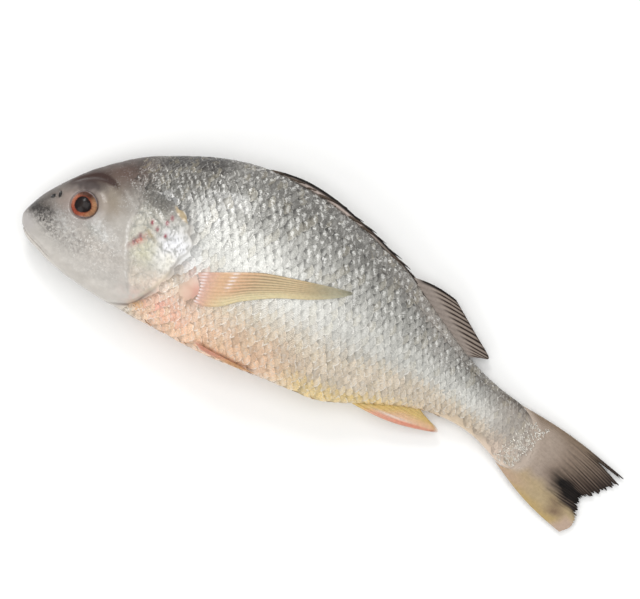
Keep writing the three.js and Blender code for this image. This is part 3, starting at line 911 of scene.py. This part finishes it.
def tail_tint(a, r, ray):
    ray_place = a * TAIL_RAYS * 2
    a = a + 0.012 * np.sin(23 * r + 9 * a)
    dark_from = lerp(0.5, 0.34, ease(0.15, 0.45, a))
    blotch = np.clip(hill(r, a, (0.82, 0.555), (0.32, 0.1), 0.14) * 2.05 - 0.2, 0, 1)
    upper = ease(0.8, 0.68, a)
    uneven = 0.6 + 0.4 * np.sin(1.9 * np.floor(ray_place) + 4 * r)
    pale = ease(0.4, 0, ray) * uneven * ease(0.35, 0.6, r) * ease(1.1, 0.8, r) * upper
    return painted(
        flat_tint("#a29386", len(a)),
        ("#827264", ease(0.2, 0.6, r) * ease(0.75, 0.5, a)),
        ("#7d6c5b", ease(0.2, 0, a) * 0.9),
        ("#6f6055", hill(r, a, (0.42, 0.52), (0.14, 0.12)) * 0.6),
        ("#ad9a79", ease(0.58, 0.74, a)),
        ("#b59b66", ease(0.84, 1.0, a) * ease(0.15, 0.35, r) * ease(0.95, 0.8, r) * 0.8),
        ("#bb9d8b", hill(r, a, (0.1, 0.95), (0.2, 0.2)) * 0.6),
        ("#b3a598", ease(0.14, 0, r) * ease(0.9, 0.7, a)),
        ("#3a2e27", ease(dark_from, dark_from + 0.5, r) * ease(0.76, 0.64, a)),
        ("#1d1614", ease(0.78, 1.0, r) * ease(0.76, 0.68, a) * 0.75),
        ("#0c0908", blotch),
        ("#1d1614", hill(r, a, (0.92, 0.7), (0.24, 0.05), 0.12) * 1.2),
        ("#b8a18f", ease(0.8, 0.93, r) * ease(0.79, 0.86, a)),
        ("#7a6450", hill(r, a, (0.74, 0.85), (0.1, 0.07)) * 0.9),
        ("#6b5846", hill(r, a, (0.68, 0.76), (0.12, 0.05)) * 0.7),
        ("#2a221e", ease(0.14, 0.05, a) * ease(0.6, 0.85, r)),
        ("#1a1412", ease(0.3, 0.9, ray) * uneven * ease(0.35, 0.7, r) * upper * 0.85),
        ("#8f7d6e", pale * (1 - 0.85 * blotch) * 0.45),
    )


def tail_ribs(a):
    """The rays stand out less on the lower lobe."""
    return lerp(1, 0.25, ease(0.7, 0.85, a))


def tail_fin():
    bm = new_blades()
    fin = Fin(
        tail_middle, tail_tint, TAIL_RAYS,
        membrane=0.2, ray_half=(0.34, 0.16), reach=tail_reach, ribbed=tail_ribs,
    )
    fin.add_to(bm, across=TAIL_RAYS * 12, lengthwise=60)
    return finished("tail_fin_blade", bm, "tail_fin")


# Back fin: ten folded spines along the back, then soft rays.
SPINES = [  # distance of the root, distance of the tip, rise of the tip over the back
    (101, 113, 1.2), (110, 126, 2.2), (119, 138.2, 3.2), (127, 144, 3.1), (136, 154.2, 2.8),
    (145, 162.6, 2.9), (153, 169, 2.6), (162, 179.4, 2.5), (172, 185.6, 2.1), (180, 191, 1.4),
]
SPINE_RADIUS = 0.8
SPINE_SINK = 0.4  # depth of its root in the back
SHEATH_RAYS = 30  # folds of the membrane between the spines
SHEATH_SINK = 0.9
SHEATH_RISE = [
    (101, 0.3), (110, 1.8), (122, 3.05), (140, 3), (152, 2.2), (166, 2), (180, 1.3), (192, 0.4),
]
SOFT_START, SOFT_END = 186, 229.5
SOFT_SAG = 2
SOFT_RAYS = 13
SOFT_BOW = 1.5
SOFT_EDGE = [(212.4, 59.4), (220.6, 53.8), (230, 47.4), (239.8, 40.5), (236, 38.4)]  # tips of the rays


def spine(bm, start, tip, rise, cell):
    """A tapered spine that leaves the back at start and lies along it to its free point at tip."""

    def shape(u, v):
        x = lerp(start, tip, v)
        turn = 2 * math.pi * u
        radius = SPINE_RADIUS * np.sqrt(np.clip(v * 12, 0, 1)) * (1 - v) ** 0.6
        y = along(BACK, x) - SPINE_SINK + (rise + SPINE_SINK) * v**0.8
        z = along(LIFT, x) + 0.5 * math.sin(start)
        return np.stack([x, y + radius * np.cos(turn), z + radius * np.sin(turn)], -1)

    verts, _, v = lofted(bm, shape, around=10, lengthwise=24, cell=cell)
    paint(bm, verts, painted(flat_tint("#55493f", len(v)), ("#2b2421", ease(0.2, 0.8, v))))


def spiny_middle(a, r):
    x = lerp(SPINES[0][0], SOFT_START + 6, a)
    y = along(BACK, x) - SHEATH_SINK + (along(SHEATH_RISE, x) + SHEATH_SINK) * r
    return np.stack([x, y, along(LIFT, x) + 0.25 * np.sin(0.9 * x) * r], -1)


def spiny_tint(a, r, ray):
    return painted(
        flat_tint("#7d736b", len(a)),
        ("#b9aaa2", hill(r, 0, (0.45, 0), (0.14, 1)) * ease(0.1, 0.25, a) * ease(0.8, 0.5, a) * 1.3),
        ("#1d1816", ease(0.55, 0.7, r)),
    )


def soft_middle(a, r):
    x = lerp(SOFT_START, SOFT_END, a)
    tip_x, tip_y = trace(SOFT_EDGE, a)
    px = lerp(x, tip_x, r)
    bend = SOFT_BOW * np.sin(math.pi * r) * (1 - a) ** 2
    height = along(LIFT, px) - SOFT_SAG * r**2 + 0.2 * np.sin(2 * math.pi * 2.5 * a) * r
    return np.stack([px, lerp(along(BACK, x) - 0.8, tip_y, r) + bend, height], -1)


def soft_tint(a, r, ray):
    return painted(
        flat_tint("#938880", len(a)),
        ("#6b5e55", ease(0.3, 0.65, r)),
        ("#4a3e37", ease(0.7, 1, r)),
        ("#a89b90", ease(0.45, 0.1, ray) * ease(0.2, 0.5, r) * ease(1.05, 0.9, r) * 0.6),
        ("#1f1916", ease(0.5, 0.95, ray) * ease(0.25, 0.6, r)),
        ("#1f1916", ease(0.08, 0.02, a) * ease(0.1, 0.3, r)),
    )


def back_fin():
    bm = new_blades()
    count = len(SPINES)
    sheath = Fin(spiny_middle, spiny_tint, SHEATH_RAYS, membrane=0.3, ray_half=(0.25, 0.1))
    sheath.add_to(bm, across=SHEATH_RAYS * 6, lengthwise=8, cell=(0, 0.9, 1, 0.1))
    soft_part = Fin(soft_middle, soft_tint, SOFT_RAYS, membrane=0.14, ray_half=(0.3, 0.1), branched=0)
    soft_part.add_to(bm, across=SOFT_RAYS * 12, lengthwise=36, cell=(0, 0.4, 1, 0.5))
    for number, (start, tip, rise) in enumerate(SPINES):
        spine(bm, start, tip, rise, (number / count, 0, 1 / count, 0.4))
    return finished("back_fin_rays", bm, "back_fin")


# Vent fin: short spines and soft rays on one membrane, folded back.
VENT_START, VENT_END = 186, 219
VENT_RAYS = 9
VENT_BOW = 2.6
VENT_EDGE = [(232.4, -4.8), (233, -3.9), (231.4, -2.4), (228, -1.2), (223, 0.6)]  # tips of the rays


def vent_middle(a, r):
    x = lerp(VENT_START, VENT_END, a)
    tip_x, tip_y = trace(VENT_EDGE, a)
    px = lerp(x, tip_x, r)
    bend = -VENT_BOW * np.sin(math.pi * r) * (1 - a) ** 2
    height = along(LIFT, px) - SOFT_SAG * r**2 + 0.3 * np.sin(2 * math.pi * 1.5 * a) * r
    return np.stack([px, lerp(along(BELLY, x) + 0.9, tip_y, r) + bend, height], -1)


def vent_tint(a, r, ray):
    tint = painted(
        flat_tint("#d4b878", len(a)),
        ("#dcb795", ease(0.75, 0.35, a) * ease(0.15, 0.4, r)),
        ("#d9a48e", ease(0.35, 0.1, a) * ease(0.1, 0.3, r)),
        ("#d68872", hill(r, a, (0.62, 0.14), (0.22, 0.08), 0.2) * 0.8),
        ("#e3d6cd", hill(r, a, (0.4, 0.24), (0.22, 0.05), 0.2) * 0.8),
        ("#d3b87c", ease(0.6, 0.9, a) * 0.7),
    )
    return tint * (1 - 0.12 * ray * ease(0.2, 0.5, r))[:, None]


def vent_fin():
    bm = new_blades()
    reach = fringe(VENT_RAYS, depth=0.06)
    fin = Fin(vent_middle, vent_tint, VENT_RAYS, membrane=0.2, ray_half=(0.35, 0.1), reach=reach)
    fin.add_to(bm, across=VENT_RAYS * 10, lengthwise=24)
    return finished("vent_fin_blade", bm, "vent_fin")


# Breast fins: the left lies back along the flank, the right is pressed under the belly.
BREAST_RAYS = 10
# Upper and lower edge of each folded blade, from the root to the tip that all its rays near.
LEFT_BLADE = (
    [(91, 15.8), (104.6, 22.4), (120.5, 29.6), (137.8, 34.2), (150.2, 37.2), (164, 40.2)],
    [
        (93.5, 1.6), (101, 2), (108.5, 5.6), (116, 11.8), (130.5, 20.6), (146.5, 27.6), (157.5, 33.6),
        (165, 39.4),
    ],
)
HIDDEN_BLADE = (
    [(93, 3.5), (110, 1), (127, -2), (144, -5), (160, -7)],
    [(96, -9), (104, -12.5), (118, -14.6), (138, -11.5), (158, -8)],
)


def breast_middle(side, edges):
    def middle(a, r):
        (top_x, top_y), (low_x, low_y) = (trace(edge, r) for edge in edges)
        x, y = lerp(top_x, low_x, a), lerp(top_y, low_y, a)
        clearance = lerp(0.5, 1.2, ease(0, 0.2, r)) - 0.4 * ease(0.75, 1, r)
        height = on_flank(x, y, side, clearance + 0.15 * np.sin(2 * math.pi * 2 * a) * r)
        if side == RIGHT:
            height = np.maximum(lerp(height, 0.9, r**2), 0.9)
        return np.stack([x, y, height], -1)

    return middle


def breast_tint(a, r, ray):
    # Painted glints: pale dabs on the rays at two places near the root.
    ray_glints = hill(r, 0, (0.05, 0), (0.022, 1)) + hill(r, 0, (0.25, 0), (0.018, 1)) * ease(0.6, 0.4, a)
    streak = ease(0.35, 0.05, ray) * ease(0.2, 0.4, r) * ease(0.85, 0.55, a) * ease(1.04, 0.92, r)
    return painted(
        flat_tint("#cfa797", len(a)),
        ("#d2ac8a", ease(0.06, 0.2, r)),
        ("#c6b08c", ease(0.28, 0.5, r)),
        ("#b3a98b", ease(0.6, 0.85, r)),
        ("#d3c69f", ease(0.5, 0.9, a) * ease(0.1, 0.3, r) * ease(0.9, 0.5, r) * 0.8),
        ("#b9b7a4", ease(0.7, 1, r) * 0.8),
        ("#f1e6e6", ray_glints * ray * 0.9),
        ("#705d43", streak * 0.6),
    )


def breast_fin(name, side, edges):
    bm = new_blades()
    middle, reach = breast_middle(side, edges), fringe(BREAST_RAYS, depth=0.03)
    fin = Fin(middle, breast_tint, BREAST_RAYS, membrane=0.16, ray_half=(0.2, 0.08), reach=reach)
    fin.add_to(bm, across=BREAST_RAYS * 10, lengthwise=60)
    return finished(name + "_blade", bm, name)


# Belly fins: a pair folded back against the belly's edge.
BELLY_FIN_ROOT, BELLY_FIN_TIP = (103, 108), (139, 128)
BELLY_FIN_RAYS = 6


def belly_middle(side):
    def middle(a, r):
        x = lerp(lerp(*BELLY_FIN_ROOT, a), lerp(*BELLY_FIN_TIP, a), r)
        y = along(BELLY, x) + lerp(4.8, 2.2, a) * (1 - 0.7 * r) - 0.6
        return np.stack([x, y, on_flank(x, y + 0.5, side, 1.4)], -1)

    return middle


def belly_tint(a, r, ray):
    tint = painted(
        flat_tint("#e6b09a", len(a)),
        ("#e0b184", ease(0.3, 0.7, r)),
        ("#b98263", ease(0.14, 0, a) * 0.7),
    )
    return tint * (1 - 0.2 * (1 - ray))[:, None]


def belly_fin(name, side):
    bm = new_blades()
    fin = Fin(belly_middle(side), belly_tint, BELLY_FIN_RAYS, membrane=0.2, ray_half=(0.4, 0.15))
    fin.add_to(bm, across=BELLY_FIN_RAYS * 10, lengthwise=40)
    return finished(name + "_blade", bm, name)


# ----------------------------------------------------------------------------------- materials
# What a node does here: Blender's kind, its settings, the sockets of its inputs, and its output.
NODES = {
    "colour": ("Attribute", {}, (), "Color"),
    "number": ("Attribute", {}, (), "Fac"),
    "place": ("TexCoord", {}, (), "Object"),
    "noise": ("TexNoise", {}, ("Vector", "Scale", "Detail", "Roughness"), "Fac"),
    "eased": (
        "MapRange",
        {"interpolation_type": "SMOOTHSTEP"},
        ("Value", "From Min", "From Max", "To Min", "To Max"),
        "Result",
    ),
    "between": ("Mix", {"data_type": "FLOAT"}, (0, 2, 3), 0),
    "covered": ("Mix", {"data_type": "RGBA"}, (0, 6, 7), 2),
    "shaded": ("Mix", {"data_type": "RGBA", "blend_type": "MULTIPLY"}, (0, 6, 7), 2),
    "bump": ("Bump", {}, ("Height", "Distance", "Strength"), "Normal"),
    "times": ("Math", {"operation": "MULTIPLY"}, (0, 1), 0),
    "plus": ("Math", {"operation": "ADD"}, (0, 1), 0),
    "minus": ("Math", {"operation": "SUBTRACT"}, (0, 1), 0),
    "unsigned": ("Math", {"operation": "ABSOLUTE"}, (0,), 0),
    "fraction": ("Math", {"operation": "FRACT"}, (0,), 0),
    "sine": ("Math", {"operation": "SINE"}, (0,), 0),
    "angle": ("Math", {"operation": "ARCTAN2"}, (0, 1), 0),
}


def feed(tree, fed, inputs):
    """Sets the inputs of a node: each is a value or another node's output."""
    for socket, value in inputs.items():
        if isinstance(value, bpy.types.NodeSocket):
            tree.links.new(value, fed.inputs[socket])
        else:
            fed.inputs[socket].default_value = value


def node(tree, task, *inputs, **settings):
    """Adds the node for a task of NODES, with its settings and links, and gives its output."""
    kind, usual_settings, sockets, output = NODES[task]
    made = tree.nodes.new("ShaderNode" + kind)
    for name, value in {**usual_settings, **settings}.items():
        setattr(made, name, value)
    feed(tree, made, dict(zip(sockets, inputs)))
    return made.outputs[output]


def new_material(name):
    """A material, and add(), which adds a node to it."""
    material = bpy.data.materials.new(name)
    material.use_nodes = True
    return material, partial(node, material.node_tree)


def coated(material, surface):
    """Gives the material's shader its numbers, colours and patterns."""
    feed(material.node_tree, material.node_tree.nodes["Principled BSDF"], surface)
    return material


def grain(add, size_mm, detail=3.0):
    """Uneven values around a half on the fish's own coordinates, with grains of a real size."""
    return add("noise", add("place"), 1 / (size_mm * MM), detail, 0.6)


def mottle(add, size_mm, start, end, low=0.0, high=1.0, detail=3.0):
    """Grain whose values from start to end are spread from low to high."""
    return add("eased", grain(add, size_mm, detail), start, end, low, high)


def wet_skin():
    """Bare wet fish skin under mucus: smooth lips, silver-flecked cheek, black-grained snout."""
    material, add = new_material("wet_fish_skin")
    tint = add("colour", attribute_name="Tint")
    silver, soot = (add("number", attribute_name=name) for name in ("Silver", "Soot"))
    clouds = mottle(add, 5.0, 0.35, 0.65)
    patchy = add("between", silver, 1.0, mottle(add, 1.6, 0.32, 0.68, 0.76, 1.14))
    shade = add("times", patchy, mottle(add, 9.0, 0.3, 0.7, 0.95, 1.05, detail=2.0))
    fleck = add("times", mottle(add, 0.9, 0.52, 0.66, detail=2.0), silver)
    fleck = add("times", fleck, add("eased", clouds, 0.0, 1.0, 0.1, 0.75))
    black = add("times", mottle(add, 1.3, 0.6, 0.42), soot)
    black = add("times", black, add("eased", clouds, 0.0, 1.0, 1.0, 0.6))
    colour = add("shaded", 1.0, tint, shade)
    colour = add("covered", fleck, colour, rgba("#eeede8"))
    colour = add("covered", add("times", black, 0.85), colour, rgba("#2e2b29"))
    height = add("times", grain(add, 1.1), add("plus", silver, 0.1))
    return coated(material, {
        "Base Color": colour, "Metallic": 0.1, "Roughness": mottle(add, 3.0, 0.3, 0.7, 0.3, 0.5),
        "IOR": 1.4, "Normal": add("bump", height, 0.3 * MM, 0.7),
        "Coat Weight": 0.35, "Coat Roughness": 0.12,
    })


def silver_scale():
    """A wet fish scale: clear ridged horn over guanine silver, with painted shade where it slips under the
    next one and painted highlights, so that each scale reads as a bright lozenge with a dark root."""
    material, add = new_material("wet_silver_scale")
    tint = add("colour", attribute_name="Tint")
    run, across, chance, contrast = (
        add("number", attribute_name=name) for name in ("Run", "Across", "Chance", "Contrast")
    )
    other_chance = add("fraction", add("times", chance, 13.7))

    # Painted shade: the root is darkened as if in the shade of the scale in front.
    soft_root_shade = add("eased", run, -0.15, 0.3, 0.84, 1.0)
    deep_root_shade = add("eased", run, -0.1, 0.4, 0.36, 0.9)
    root = add("between", contrast, soft_root_shade, deep_root_shade)
    fine = mottle(add, 0.8, 0.32, 0.68, 0.82, 1.12, detail=2.0)
    speckle = add("between", contrast, 1.0, mottle(add, 0.5, 0.35, 0.65, 0.76, 1.2, detail=1.0))
    shade = add("times", root, add("times", fine, speckle))

    # Painted highlight: the silver glint as a slanting lozenge, in a place and a strength of its own on each
    # scale.
    slant = add("eased", other_chance, 0.0, 1.0, 0.2, 0.8)
    off_middle = add("minus", run, add("eased", chance, 0.0, 1.0, 0.15, 0.55))
    off_side = add("plus", across, add("eased", other_chance, 0.0, 1.0, -0.25, 0.25))
    short_way = add("unsigned", add("minus", off_middle, add("times", off_side, slant)))
    long_way = add("unsigned", add("plus", off_side, add("times", off_middle, slant)))
    from_glint = add("plus", add("times", short_way, 1.3), add("times", long_way, 0.55))
    from_glint = add("plus", from_glint, mottle(add, 0.8, 0.3, 0.7, -0.3, 0.3, detail=2.0))
    strength = add("eased", other_chance, 0.0, 0.7, 0.15, 1.0)
    painted_glint = add("times", add("eased", from_glint, 0.48, 0.16, 0.0, 1.0), strength)
    painted_glint = add("times", painted_glint, add("plus", add("times", contrast, 0.72), 0.05))

    # Painted highlight: a broken pale stroke along one side of the free edge, as where it catches the light.
    squares = add("plus", add("times", run, run), add("times", across, across))
    free_edge = add("eased", run, 0.1, 0.35, 0.0, 1.0)
    lean = add("times", across, add("eased", other_chance, 0.45, 0.55, -1.0, 1.0))
    edge_highlight = add("times", add("eased", squares, 0.56, 0.82, 0.0, 1.0), free_edge)
    for share in (
        add("eased", lean, -0.3, 0.1, 0.0, 1.0),
        mottle(add, 2.2, 0.42, 0.6, 0.0, 0.8),
        add("eased", contrast, 0.05, 0.25, 0.2, 0.8),
        add("eased", contrast, 0.45, 0.9, 1.0, 0.5),
    ):
        edge_highlight = add("times", edge_highlight, share)

    colour = add("shaded", 1.0, tint, shade)
    colour = add("covered", painted_glint, colour, rgba("#ebeae5"))
    colour = add("covered", edge_highlight, colour, rgba("#f0ede6"))
    fan = add("angle", across, add("plus", run, 1.3))
    ridges = add("sine", add("times", fan, 60.0))
    height = add("plus", add("times", ridges, 0.15), grain(add, 0.9))
    return coated(material, {
        "Base Color": colour, "Metallic": 0.2,
        "Roughness": add("eased", chance, 0.0, 1.0, 0.2, 0.42),
        "IOR": 1.45, "Normal": add("bump", height, 0.22 * MM, 0.8),
        "Coat Weight": 0.4, "Coat Roughness": 0.12,
    })


def wet_fin(name, roughness, subsurface, shine):
    """Damp fin membrane over horny rays: satin and faintly uneven, with a thin wet coat."""
    material, add = new_material(name)
    tint = add("colour", attribute_name="Tint")
    return coated(material, {
        "Base Color": add("shaded", 1.0, tint, mottle(add, 1.5, 0.3, 0.7, 0.92, 1.07)),
        "Roughness": mottle(add, 4.0, 0.3, 0.7, roughness - 0.08, roughness + 0.1),
        "IOR": 1.33, "Specular IOR Level": 0.25, "Normal": add("bump", grain(add, 0.7), 0.12 * MM, 0.5),
        "Coat Weight": shine, "Coat Roughness": 0.2,
        "Subsurface Weight": subsurface, "Subsurface Scale": 1.0,
        "Subsurface Radius": (2 * MM, 1.2 * MM, 0.8 * MM),
    })


def fish_eye():
    """A fish's eye: black pupil, coppery iris with radial fibres and a violet-grey rim, all
    under a wet clear cornea that gives the sharp highlight."""
    material, add = new_material("wet_fish_eye")
    tint = add("colour", attribute_name="Tint")
    return coated(material, {
        "Base Color": add("shaded", 1.0, tint, mottle(add, 0.9, 0.3, 0.7, 0.85, 1.15)),
        "Roughness": 0.3, "IOR": 1.34, "Specular IOR Level": 0.25,
        "Coat Weight": 0.14, "Coat Roughness": 0.04,
    })


def floor_paint():
    """Matt white studio board."""
    material, _ = new_material("studio_board")
    return coated(material, {"Base Color": rgba("#fafaf9"), "Roughness": 0.7})


# -------------------------------------------------------------------------------------- pieces
def give(piece, material):
    """Covers the whole piece in one finish."""
    piece.data.materials.clear()
    piece.data.materials.append(material)


skin_finish, scale_finish, eye_finish = wet_skin(), silver_scale(), fish_eye()
dark_finish = wet_fin("dark_fin_membrane", 0.5, 0.0, 0.0)
amber_finish = wet_fin("amber_fin_membrane", 0.4, 0.15, 0.2)

give(body_skin(), skin_finish)
for side_name, side in SIDES.items():
    give(scale_coat("scales_" + side_name, side), scale_finish)
    give(tail_root_scales("tail_root_scales_" + side_name, side), scale_finish)
    give(eyeball(side_name, side), eye_finish)
    give(belly_fin("belly_fin_" + side_name, side), amber_finish)
give(tail_fin(), dark_finish)
give(back_fin(), dark_finish)
give(vent_fin(), amber_finish)
give(breast_fin("breast_fin_left", LEFT, LEFT_BLADE), amber_finish)
give(breast_fin("breast_fin_right", RIGHT, HIDDEN_BLADE), amber_finish)


# --------------------------------------------------------------------- floor, light and camera
low, high = cad_bounds
middle = (Vector(low) + Vector(high)) / 2


def studio_floor():
    bm = bmesh.new()
    bmesh.ops.create_grid(bm, x_segments=1, y_segments=1, size=3)
    floor = in_scene("studio_floor", mesh_of("studio_floor", bm))
    give(floor, floor_paint())


def soft_box(name, place, size, watts):
    """A square lamp at place, turned to the middle of the fish."""
    lamp = bpy.data.lights.new(name, "AREA")
    lamp.size = size
    lamp.energy = watts
    box = in_scene(name, lamp)
    box.location = place
    box.rotation_euler = (middle - box.location).to_track_quat("-Z", "Y").to_euler()


def top_camera():
    """Looks straight down on the fish, turned so that it lies head up and tail down."""
    lens, sensor, view_width, roll = 300, 36, 0.32, 25.764
    aim = Vector((middle.x - 12.5 * MM, middle.y + 1.3 * MM, 10 * MM))
    data = bpy.data.cameras.new("camera")
    data.lens = lens
    data.sensor_width = sensor
    camera = in_scene("camera", data)
    camera.location = (aim.x, aim.y, aim.z + view_width * lens / sensor)
    camera.rotation_euler = (0, 0, math.radians(roll))
    bpy.context.scene.camera = camera


studio_floor()
soft_box("overhead_box", middle + Vector((0, 0.1, 1.3)), size=1.2, watts=9)
soft_box("window_box", middle + Vector((-0.6, 0.8, 0.9)), size=0.35, watts=5)
soft_box("fill_box", middle + Vector((-0.5, -0.9, 0.7)), size=0.8, watts=4)
top_camera()
world = bpy.data.worlds.new("studio")
world.use_nodes = True
feed(world.node_tree, world.node_tree.nodes["Background"], {"Color": rgba("#ffffff"), "Strength": 0.45})
bpy.context.scene.world = world
bpy.context.scene.view_settings.view_transform = "Standard"
